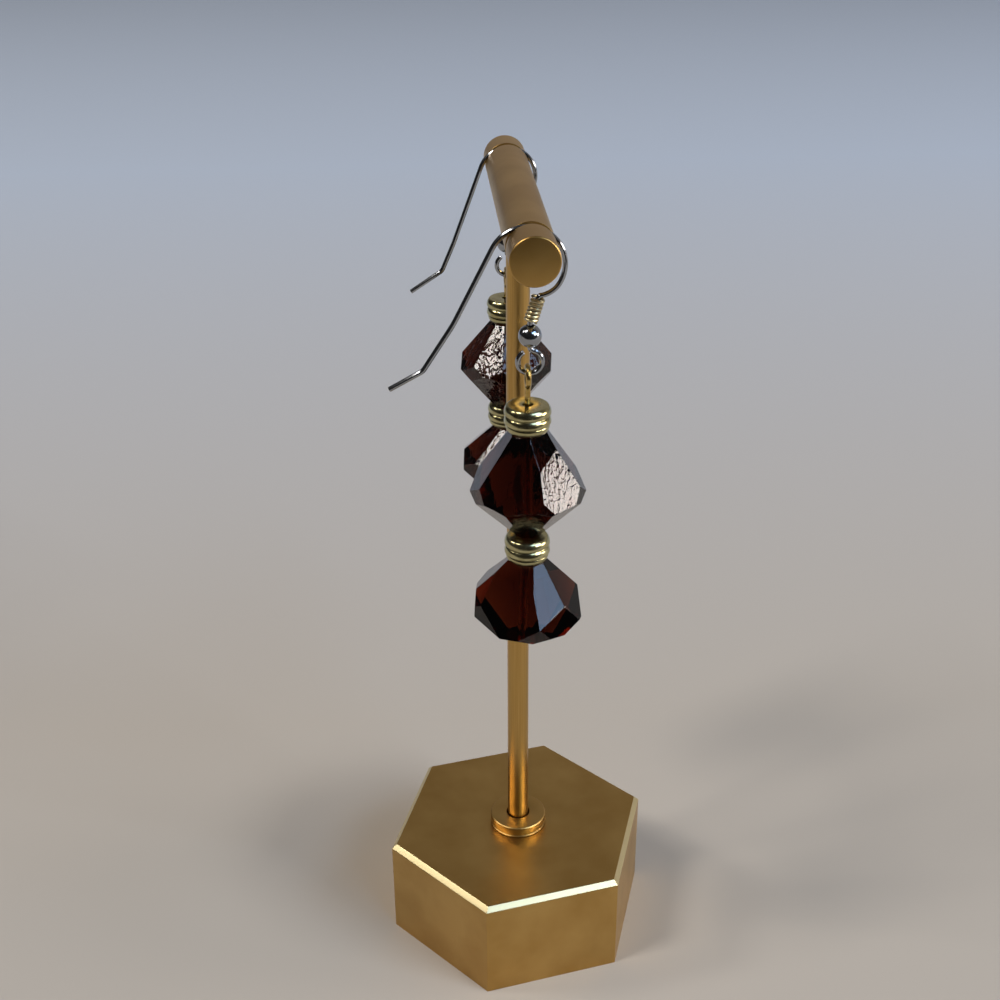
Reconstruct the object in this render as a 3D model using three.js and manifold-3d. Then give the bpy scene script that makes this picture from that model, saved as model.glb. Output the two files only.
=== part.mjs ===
// A pair of bead dangle earrings hanging on a small T-bar stand.
//
// Millimetres, +Z up. The origin is the centre of the flat underside of the hexagonal base. The cross bar
// runs along Y, with the near earring at -Y and the far one at +Y, and the hooks' tails point to -X.

import * as THREE from 'three';
import { ConvexGeometry } from 'three/addons/geometries/ConvexGeometry.js';
import { mergeVertices } from 'three/addons/utils/BufferGeometryUtils.js';
import Module from 'manifold-3d';

const wasm = await Module();
wasm.setup();

// Clearances
const fitGap = 0.15; // round a pin, post or wire in its bore
const seatGap = 0.1; // between two faces that rest on each other
const linkGap = 0.15; // between the wires of linked rings
const eyeGap = 0.1; // between a ring's cut end and its own stem

// Stand
const baseCorner = 20.5; // centre to corner of the hexagon
const baseHeight = 16.4;
const baseChamfer = 0.7;
const baseTurn = -17.4; // degrees, the hexagon's turn under the bar
const baseSides = 6;
const collarRadius = 4.3;
const collarHeight = 1.75;
const collarChamfer = 0.15;
const collarPlay = 0.18; // round the post in the collar
const postRadius = 1.575;
const postDepth = 10; // length of post inside the base
const postSocket = 1.8; // length of post inside the bar
const postFacets = 24;
const barRadius = 2.95;
const barLength = 49.8;
const barChamfer = 0.2;
const barAxisHeight = 115.8;
const barFacets = 32;
const grooveInset = 5.5; // end of the bar to the middle of its groove
const groovePlay = 0.33; // beside the wire that lies in the groove
const grooveDepth = 1;

// Ear hook: round wire with a ring at its foot, a ball above the ring and a short coil above the ball
const wireRadius = 0.32;
const wireSides = 6;
const wireStep = 0.5;
const ringRadius = 1.44; // to the middle of the wire
const eyeFillet = 0.5; // bend where a wire turns into its ring
const frontBendRadius = 3; // where the wire comes in under the bar
const frontBendStart = 30; // degrees below the horizontal
const stemBendRadius = 0.45;
const stemLean = 17; // degrees from the vertical, inside the coil
const heelBendRadius = 14;
const tailBendRadius = 1.2;
const ballRadius = 1.4;
const ballSides = 16;
const coilWireRadius = 0.2;
const coilPitch = 0.47;
const coilTurns = 6.5;
const coilSides = 5;
const coilStepsPerTurn = 12;

// Drop: head pin, two spacers and two faceted beads
const pinRadius = 0.35;
const pinSides = 10;
const pinLoopRadius = 1.2; // to the middle of the wire
const pinHeadLap = 0.45; // of the pin's head beyond the bore
const pinHeadHeight = 0.5;
const borePlay = 0.3; // round the pin in beads and spacers
const boreSides = 10;
const spacerRadius = 2.88;
const spacerHeight = 3.4;
const spacerFacets = 16;
const beadRadius = 7.15; // centre to a corner of the girdle
const beadTableRadius = 2.5; // centre to a corner of the flat top
const beadSides = 8;

// The two earrings are bent and cut by hand, so each has its own row.
// Hooks: radius over the bar and its sideways lie, each lean from the vertical in degrees with the length of
// its run, and the place of the ring from the bar's axis.
const hooks = {
  near: {
    bend: 4.43, lie: -0.5, shankLean: 27.2, shank: 9.4, heelLean: 33.2, heel: 5.7,
    tailLean: 61.5, tail: 4.35, ringX: -0.1, ringDrop: 13.85,
  },
  far: {
    bend: 3.89, lie: 0.04, shankLean: 20.6, shank: 11.25, heelLean: 23.6, heel: 3.5,
    tailLean: 56.5, tail: 5.1, ringX: -0.1, ringDrop: 14.3,
  },
};

// Drops: sideways lie in the ring and bare pin above the top spacer, then each bead's height, its turn about
// the pin in degrees, its flat foot's corner radius, and its crown and half its belt as shares of its height.
const drops = {
  near: {
    lie: -0.25, neck: 2,
    upper: { height: 14.2, turn: 41, foot: 1.6, crown: 0.55, belt: 0.011 },
    lower: { height: 11.5, turn: 24, foot: 2.2, crown: 0.54, belt: 0.08 },
  },
  far: {
    lie: -0.05, neck: 1.4,
    upper: { height: 12.9, turn: -29.5, foot: 2.4, crown: 0.502, belt: 0.015 },
    lower: { height: 11.5, turn: -26, foot: 2.2, crown: 0.53, belt: 0.08 },
  },
};

// Spacer's outline as shares of its radius and height: a tapered foot, a ridge, a groove and a second ridge
const spacerOutline = [
  [0.82, 0], [0.94, 0.2], [0.9, 0.29], [1, 0.35], [1, 0.42], [0.95, 0.56], [0.89, 0.62],
  [1, 0.69], [1, 0.76], [0.95, 0.91], [0.85, 1],
];

const grooveFloor = barRadius - grooveDepth;
const hookTop = grooveFloor + seatGap + wireRadius; // bar's axis up to the middle of the wire over it
const halfLength = barLength / 2;
const grooveY = halfLength - grooveInset;
const boreRadius = pinRadius + borePlay;

const radians = THREE.MathUtils.degToRad;

// Materials
const metal = (color, roughness) => new THREE.MeshStandardMaterial({ color, roughness, metalness: 1 });
const goldSatin = metal(0xa8834a, 0.45);
const steel = metal(0xc9ccd0, 0.2);
const paleGold = metal(0xcbbf84, 0.25);
const redGlass = new THREE.MeshStandardMaterial({ color: 0x3a1008, roughness: 0.08, metalness: 0 });

// Solids and boolean cuts

function toSolid(geometry) {
  const bare = geometry.clone();
  bare.deleteAttribute('normal');
  bare.deleteAttribute('uv');
  const merged = mergeVertices(bare, 1e-4);
  const mesh = new wasm.Mesh({
    numProp: 3,
    vertProperties: new Float32Array(merged.attributes.position.array),
    triVerts: new Uint32Array(merged.index.array),
  });
  return new wasm.Manifold(mesh);
}

function toGeometry(solid) {
  const mesh = solid.getMesh();
  const geometry = new THREE.BufferGeometry();
  geometry.setAttribute('position', new THREE.BufferAttribute(new Float32Array(mesh.vertProperties), 3));
  geometry.setIndex(new THREE.BufferAttribute(new Uint32Array(mesh.triVerts), 1));
  return geometry;
}

const cut = (body, tool) => toGeometry(toSolid(body).subtract(toSolid(tool)));
const join = (first, second) => toGeometry(toSolid(first).add(toSolid(second)));

// Piece turned about Z from an outline of [radius, height] pairs
function turned(outline, facets) {
  const points = outline.map(([radius, height]) => new THREE.Vector2(radius, height));
  return new THREE.LatheGeometry(points, facets).rotateX(Math.PI / 2);
}

function rod(radius, low, high, facets) {
  return turned([[0, low], [radius, low], [radius, high], [0, high]], facets);
}

// Turned piece with a bore up its middle, so its outline closes on itself
function sleeve(bore, outline, facets) {
  const low = outline[0][1];
  const high = outline[outline.length - 1][1];
  return turned([[bore, low], ...outline, [bore, high], [bore, low]], facets);
}

function regularRing(radius, z, sides, turn = 0) {
  return Array.from({ length: sides }, (_, k) => {
    const angle = turn + (2 * Math.PI * k) / sides;
    return new THREE.Vector3(radius * Math.cos(angle), radius * Math.sin(angle), z);
  });
}

function addMesh(group, name, geometry, material) {
  const mesh = new THREE.Mesh(geometry, material);
  mesh.name = name;
  group.add(mesh);
  return mesh;
}

// Wire

// Bend in the XZ plane round (x, z); angles run from +X towards +Z
class Bend extends THREE.Curve {
  constructor(x, z, radius, from, to) {
    super();
    Object.assign(this, { x, z, radius, from, to });
  }

  getPoint(t, target = new THREE.Vector3()) {
    const angle = this.from + t * (this.to - this.from);
    return target.set(this.x + this.radius * Math.cos(angle), 0, this.z + this.radius * Math.sin(angle));
  }
}

class Helix extends THREE.Curve {
  constructor(radius, pitch, turns) {
    super();
    Object.assign(this, { radius, pitch, turns });
  }

  getPoint(t, target = new THREE.Vector3()) {
    const turn = t * this.turns;
    const angle = 2 * Math.PI * turn;
    return target.set(this.radius * Math.cos(angle), this.radius * Math.sin(angle), turn * this.pitch);
  }
}

function wireAlong(curve, radius, sides, steps) {
  const corners = regularRing(radius, 0, sides).map(({ x, y }) => new THREE.Vector2(x, y));
  const section = new THREE.Shape(corners);
  return new THREE.ExtrudeGeometry(section, { extrudePath: curve, steps, bevelEnabled: false });
}

// Ring at the foot of a wire that comes down the line x, with the ring's centre at (x, z). The wire leaves
// its line through a small fillet and goes clockwise round the ring, up to its own stem.
function eyeBends(radius, wire, x = 0, z = 0) {
  const start = Math.asin(eyeFillet / (radius + eyeFillet));
  const mouth = Math.asin((2 * wire + eyeGap) / radius);
  const foot = (radius + eyeFillet) * Math.cos(start);
  const fillet = new Bend(x + eyeFillet, z + foot, eyeFillet, Math.PI, 1.5 * Math.PI - start);
  const ring = new Bend(x, z, radius, Math.PI / 2 - start, mouth - 1.5 * Math.PI);
  return { fillet, ring, foot };
}

const reversed = (bend) => new Bend(bend.x, bend.z, bend.radius, bend.to, bend.from);

const heading = (lean) => new THREE.Vector3(-Math.sin(lean), 0, -Math.cos(lean));

// Straight run down the back of the hook and the bend into the next lean; gives the point that it ends at
function runAndBend(path, from, length, lean, nextLean, radius) {
  const end = from.clone().addScaledVector(heading(lean), length);
  const centreX = end.x - radius * Math.cos(lean);
  const centreZ = end.z + radius * Math.sin(lean);
  const bend = new Bend(centreX, centreZ, radius, -lean, -nextLean);
  path.add(new THREE.LineCurve3(from, end));
  path.add(bend);
  return bend.getPoint(1);
}

// Stem of a hook from its ball up to the bend under the bar. The stem's bend touches both the leaning stem
// and the front bend, so its centre lies beside the stem, at both radii from the front bend's centre.
function stemOf(row, front) {
  const ballCentre = -row.ringDrop + ringRadius + wireRadius + seatGap + ballRadius;
  const knee = new THREE.Vector3(row.ringX, 0, ballCentre + ballRadius + fitGap);
  const lean = radians(stemLean);
  const up = heading(lean).negate();
  const side = new THREE.Vector3(Math.cos(lean), 0, -Math.sin(lean)).multiplyScalar(stemBendRadius);

  const offset = knee.clone().add(side).sub(front);
  const along = offset.dot(up);
  const run = -along - Math.sqrt(along ** 2 - offset.lengthSq() + (frontBendRadius + stemBendRadius) ** 2);
  const top = knee.clone().addScaledVector(up, run);
  const bendCentre = top.clone().add(side);
  const meeting = Math.atan2(bendCentre.z - front.z, bendCentre.x - front.x);
  const bend = new Bend(bendCentre.x, bendCentre.z, stemBendRadius, Math.PI - lean, meeting + Math.PI);
  return { ballCentre, knee, lean, top, bend, meeting };
}

// Centre of the arc over the bar, and of the tighter bend that carries it in under the bar
function overCentres(row) {
  const over = new THREE.Vector3(row.lie, 0, -Math.sqrt((row.bend - hookTop) ** 2 - row.lie ** 2));
  const start = radians(frontBendStart);
  const inward = new THREE.Vector3(Math.cos(start), 0, -Math.sin(start));
  return { over, front: over.clone().addScaledVector(inward, row.bend - frontBendRadius) };
}

// Whole hook from the open end of its ring, up the stem, over the bar and down the back to the tail
function hookCurve(row, { over, front }, stem) {
  const path = new THREE.CurvePath();
  const eye = eyeBends(ringRadius, wireRadius, row.ringX, -row.ringDrop);
  path.add(reversed(eye.ring));
  path.add(reversed(eye.fillet));
  path.add(new THREE.LineCurve3(new THREE.Vector3(row.ringX, 0, eye.foot - row.ringDrop), stem.knee));
  path.add(new THREE.LineCurve3(stem.knee, stem.top));
  path.add(stem.bend);

  const start = -radians(frontBendStart);
  const [shankLean, heelLean, tailLean] = [row.shankLean, row.heelLean, row.tailLean].map(radians);
  const overBar = new Bend(over.x, over.z, row.bend, start, Math.PI - shankLean);
  path.add(new Bend(front.x, front.z, frontBendRadius, stem.meeting, start));
  path.add(overBar);

  const heelTop = runAndBend(path, overBar.getPoint(1), row.shank, shankLean, heelLean, heelBendRadius);
  const tailTop = runAndBend(path, heelTop, row.heel, heelLean, tailLean, tailBendRadius);
  path.add(new THREE.LineCurve3(tailTop, tailTop.clone().addScaledVector(heading(tailLean), row.tail)));
  return path;
}

function earHook(group, side, row) {
  const centres = overCentres(row);
  const stem = stemOf(row, centres.front);
  const curve = hookCurve(row, centres, stem);
  const steps = Math.round(curve.getLength() / wireStep);
  addMesh(group, `ear_hook_${side}`, wireAlong(curve, wireRadius, wireSides, steps), steel);

  const sphere = new THREE.SphereGeometry(ballRadius, ballSides, ballSides / 2).rotateX(Math.PI / 2);
  const bore = rod(wireRadius + fitGap, -2 * ballRadius, 2 * ballRadius, boreSides);
  addMesh(group, `hook_ball_${side}`, cut(sphere, bore), steel).position.set(row.ringX, 0, stem.ballCentre);

  const helix = new Helix(wireRadius + fitGap + coilWireRadius, coilPitch, coilTurns);
  const coilGeometry = wireAlong(helix, coilWireRadius, coilSides, Math.round(coilTurns * coilStepsPerTurn));
  const coil = addMesh(group, `hook_coil_${side}`, coilGeometry, steel);
  coil.position.copy(stem.knee).addScaledVector(heading(stem.lean), -coilWireRadius);
  coil.rotation.y = stem.lean;
}

// Drop

// Bead cut with eight kites above and eight below a belt of eight upright facets, turned half a step from
// them. Each kite's plane fixes how far it reaches over the belt facets beside it.
function beadGeometry({ height, crown, belt, foot }) {
  const half = Math.PI / beadSides;
  const beltHalf = belt * height;
  const crownHeight = crown * height;
  const beltMiddle = beadRadius * Math.cos(half);
  const points = [];
  for (const [reach, end, up] of [[crownHeight, beadTableRadius, 1], [height - crownHeight, foot, -1]]) {
    const slope = (reach - beltHalf) / (beadRadius - end * Math.cos(half));
    const shoulder = beltHalf + slope * (beadRadius - beltMiddle * Math.cos(half));
    points.push(...regularRing(end, up * reach, beadSides, half));
    points.push(...regularRing(beltMiddle, up * shoulder, beadSides, half));
    points.push(...regularRing(beadRadius, up * beltHalf, beadSides));
  }
  const bore = rod(boreRadius, -2 * height, 2 * height, boreSides);
  return cut(new ConvexGeometry(points), bore).translate(0, 0, -crownHeight);
}

function spacerGeometry() {
  const outline = spacerOutline.map(([across, up]) => [across * spacerRadius, (up - 1) * spacerHeight]);
  return sleeve(boreRadius, outline, spacerFacets);
}

// The pin's loop stands across the hook's ring, and its wire runs down through the beads to a flat head
function headPin(eye, loopCentre, headTop) {
  const path = new THREE.CurvePath();
  const stemFoot = new THREE.Vector3(0, 0, eye.foot);
  path.add(new THREE.LineCurve3(new THREE.Vector3(0, 0, eye.foot + pinRadius), stemFoot));
  path.add(eye.fillet);
  path.add(eye.ring);
  const loop = wireAlong(path, pinRadius, wireSides, Math.round(path.getLength() / wireStep));
  loop.rotateX(Math.PI).rotateZ(Math.PI / 2).translate(0, 0, loopCentre);

  const headRadius = boreRadius + pinHeadLap;
  const headFoot = headTop - pinHeadHeight;
  const stemTop = loopCentre - eye.foot;
  const stem = turned([
    [0, headFoot], [headRadius - pinHeadHeight / 2, headFoot], [headRadius, headTop],
    [pinRadius, headTop], [pinRadius, stemTop], [0, stemTop],
  ], pinSides);
  return join(stem, loop);
}

function drop(group, side, row) {
  const eye = eyeBends(pinLoopRadius, pinRadius);
  const loopCentre = wireRadius + pinRadius + linkGap - ringRadius - pinLoopRadius;
  const topSpacer = loopCentre - eye.foot - row.neck;
  const upperBead = topSpacer - spacerHeight - seatGap;
  const middleSpacer = upperBead - row.upper.height - seatGap;
  const lowerBead = middleSpacer - spacerHeight - seatGap;
  const headTop = lowerBead - row.lower.height - seatGap;

  const hang = (name, top, geometry, material, turn = 0) => {
    const mesh = addMesh(group, `${name}_${side}`, geometry, material);
    mesh.position.z = top;
    mesh.rotation.z = radians(turn);
  };
  hang('head_pin', 0, headPin(eye, loopCentre, headTop), paleGold);
  hang('top_spacer', topSpacer, spacerGeometry(), paleGold);
  hang('upper_bead', upperBead, beadGeometry(row.upper), redGlass, row.upper.turn - 90);
  hang('middle_spacer', middleSpacer, spacerGeometry(), paleGold);
  hang('lower_bead', lowerBead, beadGeometry(row.lower), redGlass, row.lower.turn - 90);
}

// Stand

function standBase() {
  const turn = radians(baseTurn - 90);
  const topCorner = baseCorner - baseChamfer / Math.cos(Math.PI / baseSides);
  const block = new ConvexGeometry([
    ...regularRing(baseCorner, 0, baseSides, turn),
    ...regularRing(baseCorner, baseHeight - baseChamfer, baseSides, turn),
    ...regularRing(topCorner, baseHeight, baseSides, turn),
  ]);
  const socket = rod(postRadius + fitGap, baseHeight - postDepth - seatGap, 2 * baseHeight, postFacets);
  return cut(block, socket);
}

function standCollar() {
  const outline = [
    [collarRadius, 0],
    [collarRadius, collarHeight - collarChamfer],
    [collarRadius - collarChamfer, collarHeight],
  ];
  return sleeve(postRadius + collarPlay, outline, postFacets);
}

// Round bar along Y with a groove near each end for the hooks, and a blind hole below for the post
function standBar() {
  const grooveEdge = wireRadius + groovePlay;
  const farHalf = [
    [barRadius, grooveY - grooveEdge], [grooveFloor, grooveY - grooveEdge],
    [grooveFloor, grooveY + grooveEdge], [barRadius, grooveY + grooveEdge],
    [barRadius, halfLength - barChamfer], [barRadius - barChamfer, halfLength], [0, halfLength],
  ];
  const nearHalf = farHalf.map(([radius, along]) => [radius, -along]).reverse();
  const bar = turned([...nearHalf, ...farHalf], barFacets).rotateX(-Math.PI / 2);
  const socket = rod(postRadius + fitGap, -2 * barRadius, postSocket - barRadius + seatGap, postFacets);
  return cut(bar, socket);
}

function stand(group) {
  const post = rod(postRadius, baseHeight - postDepth, barAxisHeight - barRadius + postSocket, postFacets);
  addMesh(group, 'stand_base', standBase(), goldSatin);
  addMesh(group, 'stand_collar', standCollar(), goldSatin).position.z = baseHeight + seatGap;
  addMesh(group, 'stand_post', post, goldSatin);
  addMesh(group, 'stand_bar', standBar(), goldSatin).position.z = barAxisHeight;
}

const earringStand = new THREE.Group();
stand(earringStand);
for (const [side, y] of [['near', -grooveY], ['far', grooveY]]) {
  const { ringX, ringDrop } = hooks[side];
  const hooked = new THREE.Group();
  hooked.position.set(0, y, barAxisHeight);
  earHook(hooked, side, hooks[side]);

  const dangling = new THREE.Group();
  dangling.position.set(ringX + drops[side].lie, 0, -ringDrop);
  drop(dangling, side, drops[side]);
  hooked.add(dangling);
  earringStand.add(hooked);
}

export default earringStand;
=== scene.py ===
"""A pair of bead dangle earrings hanging on a small gold T-bar stand.

+Z is up, the bar lies along Y, and the near earring is at -Y. The sections follow the stand and then the
earrings as they are put together, and each one holds its piece's sizes, mesh, material and ride. A length
times MM is in metres, and one of the stand's or the earrings' without it is in millimetres.
"""

import math
import random

import bmesh
import bpy
from mathutils import Matrix, Vector


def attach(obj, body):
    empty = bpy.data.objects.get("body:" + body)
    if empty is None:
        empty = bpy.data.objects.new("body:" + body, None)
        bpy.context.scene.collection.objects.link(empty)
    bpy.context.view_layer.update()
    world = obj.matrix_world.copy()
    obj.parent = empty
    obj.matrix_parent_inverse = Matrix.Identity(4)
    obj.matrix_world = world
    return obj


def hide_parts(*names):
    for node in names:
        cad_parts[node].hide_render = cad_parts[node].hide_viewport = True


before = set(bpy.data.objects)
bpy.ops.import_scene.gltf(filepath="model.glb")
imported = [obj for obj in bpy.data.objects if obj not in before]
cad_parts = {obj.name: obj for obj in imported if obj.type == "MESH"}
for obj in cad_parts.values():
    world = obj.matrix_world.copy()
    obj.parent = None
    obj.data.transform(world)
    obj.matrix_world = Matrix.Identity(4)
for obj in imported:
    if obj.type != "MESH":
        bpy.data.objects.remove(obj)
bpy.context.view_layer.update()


# Camera
# It stands in front of the near end of the bar, a little to its left, and looks down at the stand. Its
# place was fitted to the base's corners, the post and the bar.

MM = 0.001

CAMERA_PLACE = Vector((-13.378, -171.596, 162.294)) * MM
CAMERA_AZIMUTH = math.radians(-3.619)
CAMERA_DOWN = math.radians(27.261)
CAMERA_ROLL = math.radians(-0.388)
LENS_SHARE = 1.382328  # focal length over the picture's side
SENSOR = 36

back = Vector(
    (
        math.sin(CAMERA_AZIMUTH) * math.cos(CAMERA_DOWN),
        -math.cos(CAMERA_AZIMUTH) * math.cos(CAMERA_DOWN),
        math.sin(CAMERA_DOWN),
    )
)
level = Vector((math.cos(CAMERA_AZIMUTH), math.sin(CAMERA_AZIMUTH), 0))
upright = back.cross(level)
right = level * math.cos(CAMERA_ROLL) + upright * math.sin(CAMERA_ROLL)
above = upright * math.cos(CAMERA_ROLL) - level * math.sin(CAMERA_ROLL)

camera = bpy.data.objects.new("camera", bpy.data.cameras.new("camera"))
bpy.context.scene.collection.objects.link(camera)
camera.data.sensor_width = SENSOR
camera.data.lens = LENS_SHARE * SENSOR
camera.data.clip_start = 0.01
camera.data.clip_end = 20
camera.matrix_world = Matrix.Translation(CAMERA_PLACE) @ Matrix((right, above, back)).transposed().to_4x4()
bpy.context.scene.camera = camera


# Stand base
# A solid hexagonal block of zinc alloy with a machined chamfer round its top, blasted and plated a satin
# gold. A blind hole in the middle of the top takes the post.

BASE_CORNER = 20.5 * MM
BASE_HEIGHT = 16.4 * MM
BASE_CHAMFER = 0.7 * MM
BASE_TURN = math.radians(-107.4)
BASE_EDGE_ROUND = 0.06 * MM
CHAMFER_UP = (0.3, 0.9)  # between these lies the Z of a chamfer face's normal
HOLE_RADIUS = 1.725 * MM
HOLE_DEPTH = 10.1 * MM
ROUND_SEGMENTS = 96

GOLD = "#caa564"
GOLD_DEEP = "#ba9454"
GOLD_ROUGHNESS = 0.36
GOLD_UNEVEN = 0.05
# The chamfer's pale cream colour is a painted highlight
CHAMFER_PAINTED_HIGHLIGHT = "#e6d6a6"
BLAST_GRAIN = 0.09 * MM  # the blasting's own grain is finer, drawn as coarse as it needs to show
BLAST_DEPTH = 0.008 * MM
TONE_PATCH = 9 * MM
DENT_DEPTH = 0.01 * MM
CUTTER_MARK = 0.5 * MM
SHARP_EDGE = math.radians(28)


def linear(hex_colour):
    """sRGB hex to linear red, green and blue, with full alpha."""
    shares = [int(hex_colour[k : k + 2], 16) / 255 for k in (1, 3, 5)]
    return [s / 12.92 if s <= 0.04045 else ((s + 0.055) / 1.055) ** 2.4 for s in shares] + [1]


def new_material(name):
    """An empty node material."""
    material = bpy.data.materials.new(name)
    material.use_nodes = True
    material.node_tree.nodes.clear()
    return material


def add_node(material, kind, **sockets):
    """Add a node. A socket given another node's output is linked to it, and any other value is set."""
    tree = material.node_tree
    made = tree.nodes.new("ShaderNode" + kind)
    for name, value in sockets.items():
        socket = made.inputs[name.replace("_", " ")]
        if isinstance(value, bpy.types.NodeSocket):
            tree.links.new(value, socket)
        else:
            socket.default_value = value
    return made


def new_piece(name, bm, body, slot, material, *nodes):
    """Turn a bmesh into a smooth-shaded piece that rides on a body and stands for CAD nodes."""
    mesh = bpy.data.meshes.new(name)
    bmesh.ops.recalc_face_normals(bm, faces=bm.faces)
    bm.to_mesh(mesh)
    bm.free()
    mesh.shade_smooth()
    mesh.set_sharp_from_angle(angle=SHARP_EDGE)
    mesh.materials.append(material)
    piece = bpy.data.objects.new(name, mesh)
    bpy.context.scene.collection.objects.link(piece)
    flat = piece.modifiers.new("faces stay flat beside their softened edges", "WEIGHTED_NORMAL")
    flat.keep_sharp = True
    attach(piece, body)
    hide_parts(*nodes)
    return piece


def drill(bm, radius, low, high, segments=ROUND_SEGMENTS):
    """Cut a round hole along Z from height low to high."""
    bit = bmesh.new()
    bmesh.ops.create_cone(
        bit, cap_ends=True, segments=segments, radius1=radius, radius2=radius, depth=high - low
    )
    bmesh.ops.translate(bit, verts=bit.verts, vec=(0, 0, (low + high) / 2))
    solids = []
    for part in (bm, bit):
        mesh = bpy.data.meshes.new("cutting")
        part.to_mesh(mesh)
        part.free()
        solid = bpy.data.objects.new("cutting", mesh)
        bpy.context.scene.collection.objects.link(solid)
        solids.append(solid)
    body, tool = solids
    cut = body.modifiers.new("hole", "BOOLEAN")
    cut.operation = "DIFFERENCE"
    cut.solver = "EXACT"
    cut.object = tool
    depsgraph = bpy.context.evaluated_depsgraph_get()
    result = bmesh.new()
    result.from_mesh(body.evaluated_get(depsgraph).to_mesh())
    for solid in solids:
        mesh = solid.data
        bpy.data.objects.remove(solid)
        bpy.data.meshes.remove(mesh)
    return result


def marked_metal(name, colour, mark_width, detail, shine, light=None, dent=0):
    """Metal whose fine marks change its roughness, and its tone and surface too where those are given."""
    metal = new_material(name)
    place = add_node(metal, "TexCoord").outputs["Object"]
    marks = add_node(metal, "TexNoise", Vector=place, Scale=1 / mark_width, Detail=detail).outputs["Fac"]
    rough = add_node(metal, "MapRange", Value=marks, To_Min=shine[0], To_Max=shine[1])
    looks = {"Base_Color": linear(colour), "Metallic": 1.0, "Roughness": rough.outputs["Result"]}
    if light:
        tone = add_node(metal, "ValToRGB", Fac=marks)
        for stop, (position, shade) in zip(tone.color_ramp.elements, ((0.3, colour), (0.7, light))):
            stop.position = position
            stop.color = linear(shade)
        looks["Base_Color"] = tone.outputs["Color"]
    if dent:
        dents = add_node(metal, "Bump", Strength=dent, Distance=DENT_DEPTH, Height=marks)
        looks["Normal"] = dents.outputs["Normal"]
    skin = add_node(metal, "BsdfPrincipled", **looks)
    add_node(metal, "OutputMaterial", Surface=skin.outputs["BSDF"])
    return metal


# Blasting before plating leaves a fine even grain, so the gold looks soft and shows no sharp reflection.
# The plating's thickness changes its tone a little from place to place
satin_gold = new_material("satin_gold_plated_zinc")
place = add_node(satin_gold, "TexCoord").outputs["Object"]
patches = add_node(satin_gold, "TexNoise", Vector=place, Scale=1 / TONE_PATCH, Detail=3.0)
tone = add_node(satin_gold, "ValToRGB", Fac=patches.outputs["Fac"])
tone.color_ramp.elements[0].position = 0.35
tone.color_ramp.elements[0].color = linear(GOLD_DEEP)
tone.color_ramp.elements[1].position = 0.65
tone.color_ramp.elements[1].color = linear(GOLD)
grain = add_node(satin_gold, "TexNoise", Vector=place, Scale=1 / BLAST_GRAIN, Detail=2.0)
rough = add_node(
    satin_gold,
    "MapRange",
    Value=grain.outputs["Fac"],
    To_Min=GOLD_ROUGHNESS - GOLD_UNEVEN,
    To_Max=GOLD_ROUGHNESS + GOLD_UNEVEN,
)
blasted = add_node(satin_gold, "Bump", Strength=0.35, Distance=BLAST_DEPTH, Height=grain.outputs["Fac"])
skin = add_node(
    satin_gold,
    "BsdfPrincipled",
    Base_Color=tone.outputs["Color"],
    Metallic=1.0,
    Roughness=rough.outputs["Result"],
    Normal=blasted.outputs["Normal"],
)
add_node(satin_gold, "OutputMaterial", Surface=skin.outputs["BSDF"])

# The chamfer was cut after blasting, so it is smoother, and its pale cream colour is a painted highlight
# that makes it show as a pale line
chamfer_gold_painted_highlight = marked_metal("bright_cut_chamfer_painted_highlight", CHAMFER_PAINTED_HIGHLIGHT, CUTTER_MARK, 2.0, (0.3, 0.42))

block = bmesh.new()
bmesh.ops.create_cone(
    block, cap_ends=True, segments=6, radius1=BASE_CORNER, radius2=BASE_CORNER, depth=BASE_HEIGHT
)
bmesh.ops.translate(block, verts=block.verts, vec=(0, 0, BASE_HEIGHT / 2))
first = max(block.verts, key=lambda v: v.co.y).co
bmesh.ops.rotate(
    block, verts=block.verts, matrix=Matrix.Rotation(BASE_TURN - math.atan2(first.y, first.x), 3, "Z")
)
top_edges = [e for e in block.edges if all(v.co.z > BASE_HEIGHT / 2 for v in e.verts)]
bmesh.ops.bevel(
    block, geom=top_edges, offset=BASE_CHAMFER, segments=1, profile=0.5, affect="EDGES", material=-1
)
bmesh.ops.bevel(
    block, geom=block.edges[:], offset=BASE_EDGE_ROUND, segments=3, profile=0.5, affect="EDGES", material=-1
)
block = drill(block, HOLE_RADIUS, BASE_HEIGHT - HOLE_DEPTH, 2 * BASE_HEIGHT)
base = new_piece("base_block", block, "stand", "stand_gold", satin_gold, "stand_base")
# The chamfer faces get the gold whose pale cream colour is a painted highlight
base.data.materials.append(chamfer_gold_painted_highlight)
for face in base.data.polygons:
    if CHAMFER_UP[0] < face.normal.z < CHAMFER_UP[1]:
        face.material_index = 1


# Collar
# A turned steel washer that sits on the base round the foot of the post, with a chamfer round its top and
# a small groove near its foot, plated like the base.

COLLAR_OUTLINE = [
    (1.755, 16.5), (4.3, 16.5), (4.3, 16.68), (4.2, 16.74), (4.2, 16.84), (4.3, 16.9), (4.3, 18.1),
    (4.15, 18.25), (1.85, 18.25), (1.755, 18.15),
]
EDGE_ROUND = 0.03 * MM
WELD = 1e-7


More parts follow.
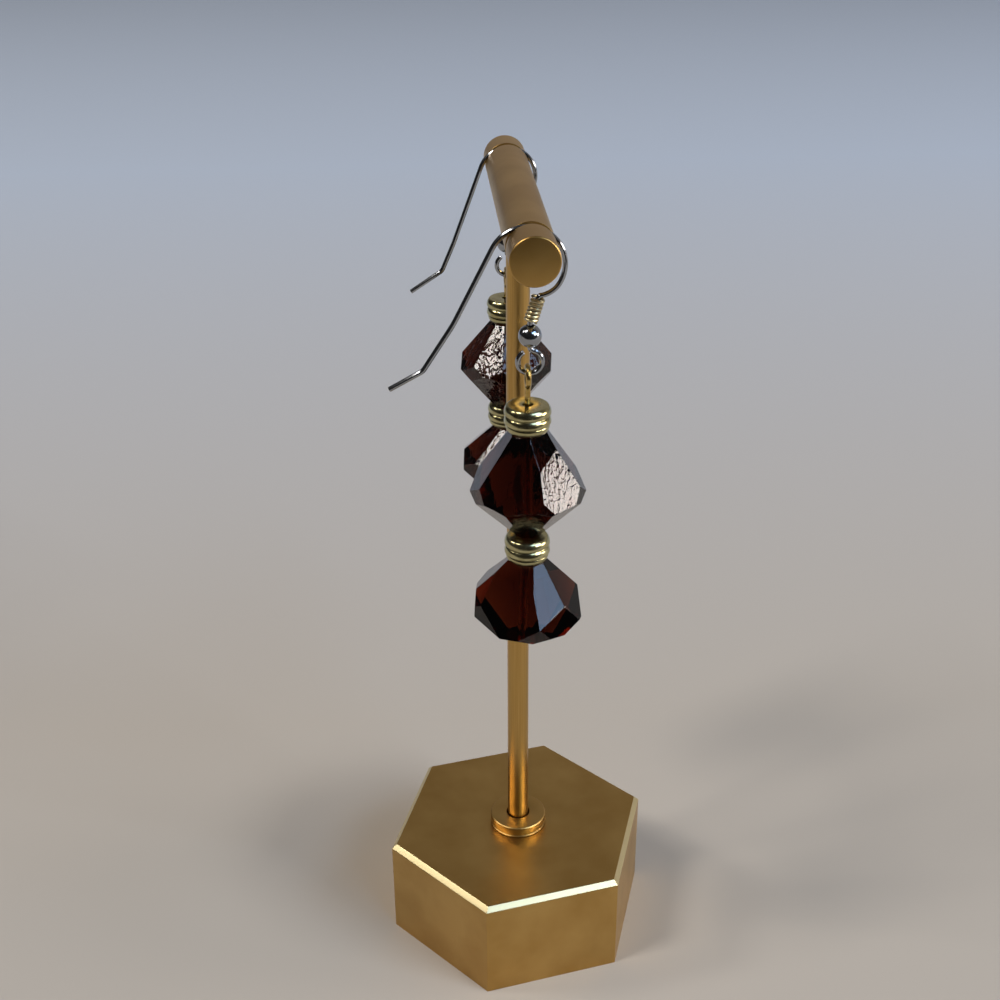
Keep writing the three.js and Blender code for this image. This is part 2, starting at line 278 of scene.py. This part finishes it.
def turned(outline, closed=True, soften=EDGE_ROUND):
    """Spin an outline of (radius, height) pairs, in millimetres, round Z; an open one ends on the axis."""
    bm = bmesh.new()
    corners = [bm.verts.new((r * MM, 0, z * MM)) for r, z in outline]
    for pair in zip(corners, corners[1:] + corners[:closed]):
        bm.edges.new(pair)
    softened = corners if closed else corners[1:-1]
    bmesh.ops.bevel(
        bm, geom=softened, offset=soften, segments=3, profile=0.5, affect="VERTICES", material=-1
    )
    bmesh.ops.spin(
        bm,
        geom=bm.verts[:] + bm.edges[:],
        axis=(0, 0, 1),
        cent=(0, 0, 0),
        steps=ROUND_SEGMENTS,
        angle=2 * math.pi,
        use_merge=True,
    )
    bmesh.ops.remove_doubles(bm, verts=bm.verts, dist=WELD)
    return bm


new_piece("post_collar", turned(COLLAR_OUTLINE), "stand", "stand_gold", satin_gold, "stand_collar")


# Post
# A drawn steel rod, a little over 3 mm thick, pressed into the base and into the bar, and plated in the
# same satin gold. It keeps faint lengthwise lines from drawing.

POST_RADIUS = 1.575
POST_FOOT = 6.4
POST_TOP = 114.65
POST_OUTLINE = [(0, POST_FOOT), (POST_RADIUS, POST_FOOT), (POST_RADIUS, POST_TOP), (0, POST_TOP)]
DRAWN_ROUGHNESS = 0.3
LINE_WIDTH = 0.12 * MM  # the real lines are finer, drawn as coarse as they need to show
LINE_LENGTH = 14 * MM
LINE_DEPTH = 0.006 * MM

# Drawing leaves lines much longer than wide, which stretch the highlight along the rod
drawn_gold = new_material("satin_gold_drawn_rod")
place = add_node(drawn_gold, "TexCoord").outputs["Object"]
lines_per_metre = (1 / LINE_WIDTH, 1 / LINE_WIDTH, 1 / LINE_LENGTH)
lengthwise = add_node(drawn_gold, "Mapping", Vector=place, Scale=lines_per_metre)
lines = add_node(drawn_gold, "TexNoise", Vector=lengthwise.outputs["Vector"], Scale=1.0, Detail=2.0)
tone = add_node(drawn_gold, "ValToRGB", Fac=lines.outputs["Fac"])
tone.color_ramp.elements[0].position = 0.3
tone.color_ramp.elements[0].color = linear(GOLD_DEEP)
tone.color_ramp.elements[1].position = 0.7
tone.color_ramp.elements[1].color = linear(GOLD)
drawn = add_node(drawn_gold, "Bump", Strength=0.3, Distance=LINE_DEPTH, Height=lines.outputs["Fac"])
skin = add_node(
    drawn_gold,
    "BsdfPrincipled",
    Base_Color=tone.outputs["Color"],
    Metallic=1.0,
    Roughness=DRAWN_ROUGHNESS,
    Normal=drawn.outputs["Normal"],
)
add_node(drawn_gold, "OutputMaterial", Surface=skin.outputs["BSDF"])

rod = turned(POST_OUTLINE, closed=False)
new_piece("post", rod, "stand", "stand_gold", drawn_gold, "stand_post")


# Cross bar
# A 6 mm steel rod, plated like the base, with chamfered ends and a shallow turned groove near each end,
# where an ear hook hangs. It is drilled from below for the post.

BAR_RADIUS = 2.95
BAR_HALF = 24.9
BAR_CHAMFER = 0.12
BAR_AXIS = 115.8
GROOVE_Y = 19.4
GROOVE_HALF = 0.5
GROOVE_FLOOR = 1.95
BAR_HOLE_TOP = 114.75

far_half = [
    (BAR_RADIUS, GROOVE_Y - GROOVE_HALF),
    (GROOVE_FLOOR, GROOVE_Y - GROOVE_HALF),
    (GROOVE_FLOOR, GROOVE_Y + GROOVE_HALF),
    (BAR_RADIUS, GROOVE_Y + GROOVE_HALF),
    (BAR_RADIUS, BAR_HALF - BAR_CHAMFER),
    (BAR_RADIUS - BAR_CHAMFER, BAR_HALF),
    (0, BAR_HALF),
]
near_half = [(radius, -along) for radius, along in reversed(far_half)]
bar = turned(near_half + far_half, closed=False)
bmesh.ops.rotate(bar, verts=bar.verts, matrix=Matrix.Rotation(-math.pi / 2, 3, "X"))
bmesh.ops.translate(bar, verts=bar.verts, vec=(0, 0, BAR_AXIS * MM))
bar = drill(bar, HOLE_RADIUS, (BAR_AXIS - 2 * BAR_RADIUS) * MM, BAR_HOLE_TOP * MM)
new_piece("cross_bar", bar, "stand", "stand_gold", satin_gold, "stand_bar")


# Ear hooks
# Round steel wire, 0.64 mm thick, bent by hand: a ring at the foot, a stem up through ball and coil, an arc
# over the bar and a long back with a kicked-out tail. The two are bent a little differently.

WIRE_RADIUS = 0.32
RING_RADIUS = 1.44
EYE_FILLET = 0.5
EYE_GAP = 0.1
FIT_GAP = 0.15
SEAT_GAP = 0.1
BALL_RADIUS = 1.4
FRONT_BEND = 3
FRONT_START = math.radians(30)
STEM_BEND = 0.45
STEM_LEAN = math.radians(17)
HEEL_BEND = 14
TAIL_BEND = 1.2
HOOK_TOP = GROOVE_FLOOR + SEAT_GAP + WIRE_RADIUS
ARC_STEP = math.radians(5)
SAME_PLACE = 0.01
WIRE_SIDES = 16
WIRE_END_ROUND = 0.08
WIRE_MARK = 0.5 * MM
STEEL = "#a2a6ac"

# Each hook's radius over the bar and its sideways lie, each lean from the vertical with the length of its
# run, and the ring's place from the bar's axis
HOOKS = {
    "near": dict(
        y=-GROOVE_Y, bend=4.43, lie=-0.5, shank_lean=27.2, shank=9.4, heel_lean=33.2, heel=5.7,
        tail_lean=61.5, tail=4.35, ring_x=-0.1, ring_drop=13.85,
    ),
    "far": dict(
        y=GROOVE_Y, bend=3.89, lie=0.04, shank_lean=20.6, shank=11.25, heel_lean=23.6, heel=3.5,
        tail_lean=56.5, tail=5.1, ring_x=-0.1, ring_drop=14.3,
    ),
}


def arc(centre, radius, start, end):
    """Points of an arc in the XZ plane."""
    count = max(2, math.ceil(abs(end - start) / ARC_STEP))
    angles = [start + (end - start) * k / count for k in range(count + 1)]
    return [centre + Vector((math.cos(a), math.sin(a))) * radius for a in angles]


def eye(centre, radius, wire_radius):
    """A ring at the foot of a wire that comes down to it: the small fillet, then round to its own stem."""
    start = math.asin(EYE_FILLET / (radius + EYE_FILLET))
    mouth = math.asin((2 * wire_radius + EYE_GAP) / radius)
    foot = (radius + EYE_FILLET) * math.cos(start)
    fillet = arc(centre + Vector((EYE_FILLET, foot)), EYE_FILLET, math.pi, 1.5 * math.pi - start)
    ring = arc(centre, radius, math.pi / 2 - start, mouth - 1.5 * math.pi)
    return foot, fillet + ring


def downward(lean):
    """The way down and back along a wire that leans so far from the vertical."""
    return Vector((-math.sin(lean), -math.cos(lean)))


def stem_of(row, front):
    """The ball's height, the knee above it, and the stem's bend up to the front bend."""
    ball = -row["ring_drop"] + RING_RADIUS + WIRE_RADIUS + SEAT_GAP + BALL_RADIUS
    knee = Vector((row["ring_x"], ball + BALL_RADIUS + FIT_GAP))
    up = -downward(STEM_LEAN)
    side = Vector((math.cos(STEM_LEAN), -math.sin(STEM_LEAN))) * STEM_BEND
    offset = knee + side - front
    along = offset.dot(up)
    run = -along - math.sqrt(along**2 - offset.length_squared + (FRONT_BEND + STEM_BEND) ** 2)
    top = knee + up * run
    centre = top + side
    meeting = math.atan2(centre.y - front.y, centre.x - front.x)
    return ball, knee, centre, meeting


def hook_route(row):
    """Points of the whole hook from the ring's open end to the tail, as x and z from the bar's axis."""
    over = Vector((row["lie"], -math.sqrt((row["bend"] - HOOK_TOP) ** 2 - row["lie"] ** 2)))
    inward = Vector((math.cos(FRONT_START), -math.sin(FRONT_START)))
    front = over + inward * (row["bend"] - FRONT_BEND)
    ball, knee, centre, meeting = stem_of(row, front)
    leans = [math.radians(row[name]) for name in ("shank_lean", "heel_lean", "tail_lean")]

    foot, ring = eye(Vector((row["ring_x"], -row["ring_drop"])), RING_RADIUS, WIRE_RADIUS)
    route = ring[::-1] + [knee]
    route += arc(centre, STEM_BEND, math.pi - STEM_LEAN, meeting + math.pi)
    route += arc(front, FRONT_BEND, meeting, -FRONT_START)
    route += arc(over, row["bend"], -FRONT_START, math.pi - leans[0])
    for lean, length, radius, nxt in (
        (leans[0], row["shank"], HEEL_BEND, leans[1]),
        (leans[1], row["heel"], TAIL_BEND, leans[2]),
    ):
        end = route[-1] + downward(lean) * length
        bend_centre = end + Vector((-math.cos(lean), math.sin(lean))) * radius
        route += arc(bend_centre, radius, -lean, -nxt)
    route.append(route[-1] + downward(leans[2]) * row["tail"])
    return route, ball, knee


def wire(points, radius, sides=WIRE_SIDES, soften=WIRE_END_ROUND):
    """A round wire along points in millimetres, with softened cut ends, as a bmesh."""
    kept = points[:1] + [p for p, before in zip(points[1:], points) if (p - before).length > SAME_PLACE]
    curve = bpy.data.curves.new("wire", "CURVE")
    curve.dimensions = "3D"
    curve.bevel_depth = radius * MM
    curve.bevel_resolution = sides // 4
    spline = curve.splines.new("POLY")
    spline.points.add(len(kept) - 1)
    for point, at in zip(spline.points, kept):
        point.co = (*(at * MM), 1)
    swept = bpy.data.objects.new("wire", curve)
    bpy.context.scene.collection.objects.link(swept)
    bm = bmesh.new()
    bm.from_mesh(swept.evaluated_get(bpy.context.evaluated_depsgraph_get()).to_mesh())
    bpy.data.objects.remove(swept)
    bpy.data.curves.remove(curve)
    bmesh.ops.remove_doubles(bm, verts=bm.verts, dist=WELD)
    rims = [e for e in bm.edges if e.is_boundary]
    bmesh.ops.holes_fill(bm, edges=rims, sides=0)
    if soften:
        bmesh.ops.bevel(
            bm, geom=rims, offset=soften * MM, segments=3, profile=0.5, affect="EDGES", material=-1
        )
    return bm


# Polished surgical steel is nearly a mirror, so it shows dark and white lines side by side, broken a
# little by the marks of the bending pliers
ear_steel = marked_metal("polished_steel_wire", STEEL, WIRE_MARK, 3.0, (0.1, 0.2), dent=0.15)

balls = {}
knees = {}
for side, row in HOOKS.items():
    route, ball, knee = hook_route(row)
    points = [Vector((x, row["y"], BAR_AXIS + z)) for x, z in route]
    bent = wire(points, WIRE_RADIUS)
    new_piece(f"hook_wire_{side}", bent, "stand", "ear_wire", ear_steel, f"ear_hook_{side}")
    balls[side] = Vector((row["ring_x"], row["y"], BAR_AXIS + ball))
    knees[side] = Vector((knee.x, row["y"], BAR_AXIS + knee.y))


# Hook balls
# A small round bead of polished steel, threaded on each hook above its ring. Its hole is a little wider
# than the wire.

BALL_BORE = WIRE_RADIUS + FIT_GAP
BALL_SEGMENTS = 64
BORE_SEGMENTS = 32

for side, centre in balls.items():
    bead = bmesh.new()
    bmesh.ops.create_uvsphere(
        bead, u_segments=BALL_SEGMENTS, v_segments=BALL_SEGMENTS // 2, radius=BALL_RADIUS * MM
    )
    bead = drill(bead, BALL_BORE * MM, -2 * BALL_RADIUS * MM, 2 * BALL_RADIUS * MM, BORE_SEGMENTS)
    bmesh.ops.translate(bead, verts=bead.verts, vec=centre * MM)
    new_piece(f"ball_{side}", bead, "stand", "ear_wire", ear_steel, f"hook_ball_{side}")


# Hook coils
# A short spring of fine plated wire, wound six and a half turns round each hook's leaning stem above the
# ball, for ornament and to keep the ball in its place.

COIL_WIRE = 0.2
COIL_RADIUS = WIRE_RADIUS + FIT_GAP + COIL_WIRE
COIL_PITCH = 0.47
COIL_TURNS = 6.5
COIL_STEPS = 24
COIL_SIDES = 12
COIL_END_ROUND = 0.04
COIL_MARK = 0.3 * MM
COIL_POST_REFLECTION_GOLD = "#c2b48c"

# The coil is duller than the hook inside it, and its warm tone is a painted reflection of the gold post
# behind it
coil_painted_reflection = marked_metal("coil_wire_painted_post_reflection", COIL_POST_REFLECTION_GOLD, COIL_MARK, 2.0, (0.24, 0.36))

for side, knee in knees.items():
    turns = []
    for k in range(int(COIL_TURNS * COIL_STEPS) + 1):
        angle = 2 * math.pi * k / COIL_STEPS
        rise = COIL_PITCH * k / COIL_STEPS + COIL_WIRE
        turns.append(Vector((COIL_RADIUS * math.cos(angle), COIL_RADIUS * math.sin(angle), rise)))
    lean = Matrix.Rotation(STEM_LEAN, 3, "Y")
    points = [lean @ p + knee for p in turns]
    coil = wire(points, COIL_WIRE, sides=COIL_SIDES, soften=COIL_END_ROUND)
    new_piece(f"coil_{side}", coil, "stand", "ear_wire", coil_painted_reflection, f"hook_coil_{side}")


# Head pins
# Gold-plated brass wire, 0.7 mm thick, with a flat head under the lower bead and a loop at the top, turned
# across the hook's ring so that the drop swings.

PIN_RADIUS = 0.35
PIN_LOOP = 1.2
PIN_HEAD_LAP = 0.45
PIN_HEAD_HEIGHT = 0.5
PIN_HEAD_FACE = 0.6
PIN_MARK = 0.6 * MM
PIN_GOLD = "#b08e48"
PIN_GOLD_LIGHT = "#d8bc78"
BORE_PLAY = 0.3
LINK_GAP = 0.15
BORE_RADIUS = PIN_RADIUS + BORE_PLAY
SPACER_HEIGHT = 3.4

# Each drop's place in the ring, the bare pin above its top spacer and its beads' heights
DROPS = {
    "near": dict(lie=-0.25, neck=2, upper=14.2, lower=11.5),
    "far": dict(lie=-0.05, neck=1.4, upper=12.9, lower=11.5),
}

# Gold-plated wire straight from the roll, a rich yellow with the faint mottle of thin plating
pin_gold = marked_metal(
    "yellow_gold_plated_pin_wire", PIN_GOLD, PIN_MARK, 3.0, (0.16, 0.3), light=PIN_GOLD_LIGHT
)

loop_centre = WIRE_RADIUS + PIN_RADIUS + LINK_GAP - RING_RADIUS - PIN_LOOP
for side, row in DROPS.items():
    hook = HOOKS[side]
    hang = Vector((hook["ring_x"] + row["lie"], hook["y"], BAR_AXIS - hook["ring_drop"]))
    foot, bends = eye(Vector((0, 0)), PIN_LOOP, PIN_RADIUS)
    row["top_spacer"] = loop_centre - foot - row["neck"]
    row["upper_bead"] = row["top_spacer"] - SPACER_HEIGHT - SEAT_GAP
    row["middle_spacer"] = row["upper_bead"] - row["upper"] - SEAT_GAP
    row["lower_bead"] = row["middle_spacer"] - SPACER_HEIGHT - SEAT_GAP
    head_top = row["lower_bead"] - row["lower"] - SEAT_GAP
    row["hang"] = hang

    route = [Vector((0, head_top)), Vector((0, loop_centre - foot))]
    route += [Vector((p.x, loop_centre - p.y)) for p in bends]
    points = [Vector((0, p.x, p.y)) + hang for p in route]
    pin = wire(points, PIN_RADIUS, soften=0)

    # The lower end is spread into the head: out to its width, straight down, and in to a smaller flat face
    ends = [f for f in pin.faces if len(f.verts) > 4]
    cap = min(ends, key=lambda f: f.calc_center_median().z)
    middle = (hang + Vector((0, 0, head_top))) * MM
    half_head = PIN_HEAD_HEIGHT / 2
    for width, drop in ((BORE_RADIUS + PIN_HEAD_LAP, 0), (None, half_head), (PIN_HEAD_FACE, half_head)):
        cap = bmesh.ops.extrude_discrete_faces(pin, faces=[cap])["faces"][0]
        if width:
            across = max((v.co.xy - middle.xy).length for v in cap.verts)
            share = width * MM / across
            bmesh.ops.scale(pin, verts=cap.verts, vec=(share, share, 1), space=Matrix.Translation(-middle))
        bmesh.ops.translate(pin, verts=cap.verts, vec=(0, 0, -drop * MM))
    new_piece(f"pin_{side}", pin, f"drop_{side}", "pale_gold", pin_gold, f"head_pin_{side}")


# Spacers
# Turned brass beads, plated a pale gold and polished, with two round ridges over a tapered foot. One sits
# on top of each upper bead and one between the beads.

SPACER_OUTLINE = [
    (0.65, 0), (2.36, 0), (2.6, 0.32), (2.71, 0.68), (2.66, 0.9), (2.6, 0.98), (2.76, 1.04),
    (2.88, 1.18), (2.88, 1.42), (2.83, 1.68), (2.74, 1.9), (2.57, 2.1), (2.76, 2.2), (2.88, 2.34),
    (2.88, 2.58), (2.83, 2.84), (2.73, 3.08), (2.57, 3.32), (2.42, 3.4), (0.65, 3.4),
]
SPACER_EDGE_ROUND = 0.08 * MM
SPACER_MARK = 1.2 * MM
PALE_GOLD = "#a69c6e"
PALE_GOLD_LIGHT = "#c8c398"

# Thin pale gold over brass: bright bands on the ridges, with small dull places where it has been handled
pale_gold = marked_metal(
    "pale_gold_plated_brass", PALE_GOLD, SPACER_MARK, 4.0, (0.14, 0.28), light=PALE_GOLD_LIGHT, dent=0.2
)

for side, row in DROPS.items():
    for name in ("top_spacer", "middle_spacer"):
        spacer = turned(SPACER_OUTLINE, soften=SPACER_EDGE_ROUND)
        foot_place = row["hang"] + Vector((0, 0, row[name] - SPACER_HEIGHT))
        bmesh.ops.translate(spacer, verts=spacer.verts, vec=foot_place * MM)
        piece_name = f"{name}_turned_{side}"
        new_piece(piece_name, spacer, f"drop_{side}", "pale_gold", pale_gold, f"{name}_{side}")


# Beads
# Garnet-red pressed glass, ground into eight long kites above and eight below a belt of upright facets,
# and fire polished, so that the edges are a little soft and the faces keep a ripple. Each is drilled for
# the pin.

BEAD_RADIUS = 7.15
BEAD_TABLE = 2.5
BEAD_SIDES = 8
EDGE_MELT = 0.05
GARNET_BODY = "#d08a66"
GARNET_DEPTH = "#c19559"
GARNET_DENSITY = 560.0
GLASS_IOR = 1.52
GLASS_ROUGHNESS = 0.02
RIPPLE_STRETCH = (1, 1, 0.35)  # the ripple runs lengthwise, about three times longer than wide
GRINDING_SLIP = (0.8, 0.8, 0.06)  # how far a facet may be turned, tipped and cut deeper by chance
BLANK_RADIUS = 1.3 * BEAD_RADIUS
BLANK_SEGMENTS = 48
CUT_PRECISION = 1e-8

# Each bead's turn about the pin in degrees, its flat foot's corner radius, and its crown and half its belt
# as shares of its height. A facet that shows how it was ground by hand is given as the degrees it is turned
# and tipped from the even pattern, and how much deeper it is cut in millimetres. Facets are counted from
# the bead's turn: crown and pavilion facets lie under each other, and belt facets between them. A ridge
# flat is a small extra facet, given as its azimuth, its elevation and its distance from the girdle's middle.
BEADS = {
    "near": dict(
        upper=dict(
            turn=41, foot=1.6, crown=0.55, belt=0.011,
            hand={
                "crown 0": (0, -4, 0.35), "crown 5": (5, 0, 0.25), "crown 6": (0, -3, 0.1),
                "crown 7": (0, 0, 0), "belt 0": (0, 6, -0.2), "belt 5": (0, 4, 0),
                "belt 6": (0, 12, -0.1), "belt 7": (0, 12, -0.25), "pavilion 0": (0, 0, 0.1),
                "pavilion 6": (0, 0, 0.2), "pavilion 7": (0, 0, 0.2),
            },
            ridge_flats=((-26.5, 34.4, 6.34), (36.5, 35.7, 6.09)),
        ),
        lower=dict(
            turn=24, foot=2.2, crown=0.54, belt=0.08,
            hand={
                "crown 0": (-6.2, -4.7, 0.55), "crown 1": (-4, -5.8, 0.29),
                "crown 6": (-4, -6.3, -0.19), "crown 7": (-6, -5.2, 1.05),
                "belt 0": (-16.5, 18, 0.4), "belt 5": (-8, 2, 0), "belt 6": (-8, 10, 0),
                "belt 7": (-21.5, 33.5, 1.56), "pavilion 0": (0, -6.5, -0.1),
                "pavilion 7": (0, -6.5, -0.1),
            },
            ridge_flats=((3, -8, 7.05),),
        ),
    ),
    "far": dict(
        upper=dict(
            turn=-29.5, foot=2.4, crown=0.502, belt=0.015,
            hand={
                "crown 1": (0, 0, 0.1), "crown 7": (0, 0, 0.2), "belt 0": (0, 6, -0.45),
                "belt 7": (0, 3, -0.3),
            },
        ),
        lower=dict(
            turn=-26, foot=2.2, crown=0.53, belt=0.08,
            hand={
                "crown 6": (0, 3, 0.25), "crown 7": (0, 3, 0.22), "belt 7": (0, 4, -0.35),
                "pavilion 6": (0, 0, 0.4), "pavilion 7": (0, 0, 0.5),
            },
        ),
    ),
}


def towards(azimuth, elevation):
    """The direction at an azimuth, 0 towards the camera and growing to the right, and an elevation."""
    across, up = math.radians(azimuth), math.radians(elevation)
    return Vector((math.sin(across) * math.cos(up), -math.cos(across) * math.cos(up), math.sin(up)))


def garnet(name, ripple, width):
    """Clear glass tinted through, whose faces keep a ripple of that height and width in millimetres."""
    glass = new_material(name)
    place = add_node(glass, "TexCoord").outputs["Object"]
    stretched = add_node(glass, "Mapping", Vector=place, Scale=RIPPLE_STRETCH)
    waves = add_node(
        glass,
        "TexNoise",
        Vector=stretched.outputs["Vector"],
        Scale=1 / (width * MM),
        Detail=1.0,
        Distortion=0.8,
    )
    rippled = add_node(glass, "Bump", Strength=1.0, Distance=ripple * MM, Height=waves.outputs["Fac"])
    skin = add_node(
        glass,
        "BsdfPrincipled",
        Base_Color=linear(GARNET_BODY),
        Roughness=GLASS_ROUGHNESS,
        IOR=GLASS_IOR,
        Transmission_Weight=1.0,
        Normal=rippled.outputs["Normal"],
    )
    depth = add_node(glass, "VolumeAbsorption", Color=linear(GARNET_DEPTH), Density=GARNET_DENSITY)
    add_node(glass, "OutputMaterial", Surface=skin.outputs["BSDF"], Volume=depth.outputs["Volume"])
    return glass


def facet_planes(name, height, turn, foot, crown, belt, hand, ridge_flats=()):
    """Each facet as its normal and its distance from the middle of the girdle."""
    half = 180 / BEAD_SIDES
    inner = BEAD_RADIUS * math.cos(math.radians(half))
    belt_half = belt * height
    reach_up = crown * height
    rings = [("belt", half, 0, inner)]
    planes = []
    kites = (("crown", reach_up, BEAD_TABLE, 1), ("pavilion", height - reach_up, foot, -1))
    for ring, reach, end, way in kites:
        tilt = math.atan2(BEAD_RADIUS - end * math.cos(math.radians(half)), reach - belt_half)
        distance = BEAD_RADIUS * math.cos(tilt) + belt_half * math.sin(tilt)
        planes.append((Vector((0, 0, way)), reach))
        rings.append((ring, 0, way * math.degrees(tilt), distance))
    slip = random.Random(name)
    facets = list(ridge_flats)
    for ring, start, tilt, distance in rings:
        for k in range(BEAD_SIDES):
            chance = [slip.uniform(-most, most) for most in GRINDING_SLIP]
            aside, tipped, deeper = hand.get(f"{ring} {k}", chance)
            facets.append((turn + start + 2 * half * k + aside, tilt + tipped, distance - deeper))
    for azimuth, elevation, distance in facets:
        planes.append((towards(azimuth, elevation), distance))
    return planes


def cut_bead(planes, height):
    """Grind a round blank down to each facet's plane in turn."""
    bm = bmesh.new()
    bmesh.ops.create_cone(
        bm,
        cap_ends=True,
        segments=BLANK_SEGMENTS,
        radius1=BLANK_RADIUS * MM,
        radius2=BLANK_RADIUS * MM,
        depth=2 * height * MM,
    )
    for normal, distance in planes:
        whole = bm.verts[:] + bm.edges[:] + bm.faces[:]
        cut = bmesh.ops.bisect_plane(
            bm,
            geom=whole,
            dist=CUT_PRECISION,
            plane_co=normal * distance * MM,
            plane_no=normal,
            clear_outer=True,
        )
        rim = [e for e in cut["geom_cut"] if isinstance(e, bmesh.types.BMEdge)]
        bmesh.ops.contextual_create(bm, geom=rim)
    bmesh.ops.bevel(
        bm, geom=bm.edges[:], offset=EDGE_MELT * MM, segments=2, profile=0.5, affect="EDGES", material=-1
    )
    return bm


# Garnet-red glass swallows most light on its way through, so the beads look nearly black with red where
# they are thin, and a facet that meets a lamp turns white. Fire polish leaves a ripple that breaks that
# white up. It differs from bead to bead, and is drawn as coarse as it needs to show
rippled_garnet = garnet("garnet_glass_rippled", 0.04, 0.5)
crackled_garnet = garnet("garnet_glass_crackled", 0.12, 0.85)
smooth_garnet = garnet("garnet_glass_smooth", 0.002, 0.5)
BEAD_GLASS = {
    ("near", "upper"): rippled_garnet,
    ("near", "lower"): smooth_garnet,
    ("far", "upper"): crackled_garnet,
    ("far", "lower"): crackled_garnet,
}

for side, row in DROPS.items():
    for level_name in ("upper", "lower"):
        shape = BEADS[side][level_name]
        height = row[level_name]
        bead = cut_bead(facet_planes(f"{level_name} {side}", height, **shape), height)
        bead = drill(bead, BORE_RADIUS * MM, -2 * height * MM, 2 * height * MM, BORE_SEGMENTS)
        middle = row["hang"] + Vector((0, 0, row[f"{level_name}_bead"] - shape["crown"] * height))
        bmesh.ops.translate(bead, verts=bead.verts, vec=middle * MM)
        glass = BEAD_GLASS[side, level_name]
        node = f"{level_name}_bead_{side}"
        new_piece(f"{level_name}_garnet_{side}", bead, f"drop_{side}", "red_bead", glass, node)


# Floor and light
# A plain pale floor that ends in front of the camera, soft light from behind and dim surroundings in
# front, and soft boxes where the polished faces show them: two wide ones at the right with a dimmer bluish
# one above them, a small one at the left and one overhead at the left.

FLOOR_NEAR = -0.32  # in metres, like all lengths of the floor and the lights
FLOOR_FAR = 5
FLOOR_HALF = 3
FLOOR_TONE = "#c9c1b6"
# The far tone is lighter as well as cooler: painted light where less of the lamps' light reaches
FLOOR_FAR_PAINTED_LIGHT = "#d2deef"
FAR_LIGHT_SPAN = (0.05, 0.5)  # how far behind the stand the floor begins to turn cooler, and where it ends
BACK_LIGHT = 0.7
BACK_TURN = math.radians(30)
ROOM_LIGHT = 0.05
BACK_EDGE = (0.3, 0.75)  # where the light from behind begins and where it is full
ROOM_TONE = "#b2adaa"
LIT_MIDDLE = Vector((0, -0.01, 0.09))

# A matt painted board that hardly mirrors anything, warm by the stand, and lighter and cooler further back
# The lighter tone further back is painted light, which makes up for the lamps' light falling off
floor_paint = new_material("pale_floor")
spot = add_node(floor_paint, "TexCoord").outputs["Object"]
away = add_node(floor_paint, "SeparateXYZ", Vector=spot).outputs["Y"]
share = add_node(floor_paint, "MapRange", Value=away, From_Min=FAR_LIGHT_SPAN[0], From_Max=FAR_LIGHT_SPAN[1])
shade = add_node(floor_paint, "ValToRGB", Fac=share.outputs["Result"])
shade.color_ramp.elements[0].color = linear(FLOOR_TONE)
shade.color_ramp.elements[1].color = linear(FLOOR_FAR_PAINTED_LIGHT)
skin = add_node(
    floor_paint,
    "BsdfPrincipled",
    Base_Color=shade.outputs["Color"],
    Roughness=0.8,
    Specular_IOR_Level=0.1,
)
add_node(floor_paint, "OutputMaterial", Surface=skin.outputs["BSDF"])
floor_mesh = bpy.data.meshes.new("floor")
ground = bmesh.new()
bmesh.ops.create_grid(ground, x_segments=1, y_segments=1, size=1)
bmesh.ops.scale(ground, verts=ground.verts, vec=(FLOOR_HALF, (FLOOR_FAR - FLOOR_NEAR) / 2, 1))
bmesh.ops.translate(ground, verts=ground.verts, vec=(0, (FLOOR_FAR + FLOOR_NEAR) / 2, 0))
ground.to_mesh(floor_mesh)
ground.free()
floor_mesh.materials.append(floor_paint)
floor = bpy.data.objects.new("floor", floor_mesh)
bpy.context.scene.collection.objects.link(floor)

room = bpy.data.worlds.new("room")
bpy.context.scene.world = room
room.use_nodes = True
room.node_tree.nodes.clear()
facing = add_node(room, "TexCoord").outputs["Generated"]
turned_room = add_node(room, "Mapping", Vector=facing, Rotation=(0, 0, BACK_TURN)).outputs["Vector"]
depth_way = add_node(room, "SeparateXYZ", Vector=turned_room).outputs["Y"]
glow = add_node(
    room,
    "MapRange",
    Value=depth_way,
    From_Min=BACK_EDGE[0],
    From_Max=BACK_EDGE[1],
    To_Min=ROOM_LIGHT,
    To_Max=BACK_LIGHT,
)
air = add_node(room, "Background", Color=linear(ROOM_TONE), Strength=glow.outputs["Result"])
add_node(room, "OutputWorld", Surface=air.outputs["Background"])


def soft_box(name, azimuth, elevation, distance, width, height, colour, glow):
    """A rectangular lamp, sizes in metres, seen from the earrings at that azimuth and elevation."""
    out = towards(azimuth, elevation)
    light = bpy.data.lights.new(name, "AREA")
    light.shape = "RECTANGLE"
    light.size = width
    light.size_y = height
    light.color = linear(colour)[:3]
    light.energy = glow * math.pi * width * height
    lamp = bpy.data.objects.new(name, light)
    bpy.context.scene.collection.objects.link(lamp)
    lamp.location = LIT_MIDDLE + out * distance
    lamp.rotation_euler = out.to_track_quat("Z", "Y").to_euler()
    lamp.visible_camera = False


# Each box's azimuth and elevation, its distance, width and height, its colour and its radiance
SOFT_BOXES = {
    "right": (57, 24, 2.0, 0.85, 0.36, "#ffffff", 18),
    "low right": (84, 10.6, 2.0, 0.7, 0.38, "#fff4ec", 14),
    "high right": (46, 42, 2.2, 1.5, 0.6, "#aac6ea", 5.6),
    "left": (-96, 36, 2.0, 0.34, 0.34, "#fff8f0", 20),
    "overhead left": (-68, 53.5, 2.0, 0.4, 0.56, "#fff8f0", 18),
}
for where, box in SOFT_BOXES.items():
    soft_box(f"{where} soft box", *box)

bpy.context.scene.view_settings.view_transform = "Standard"
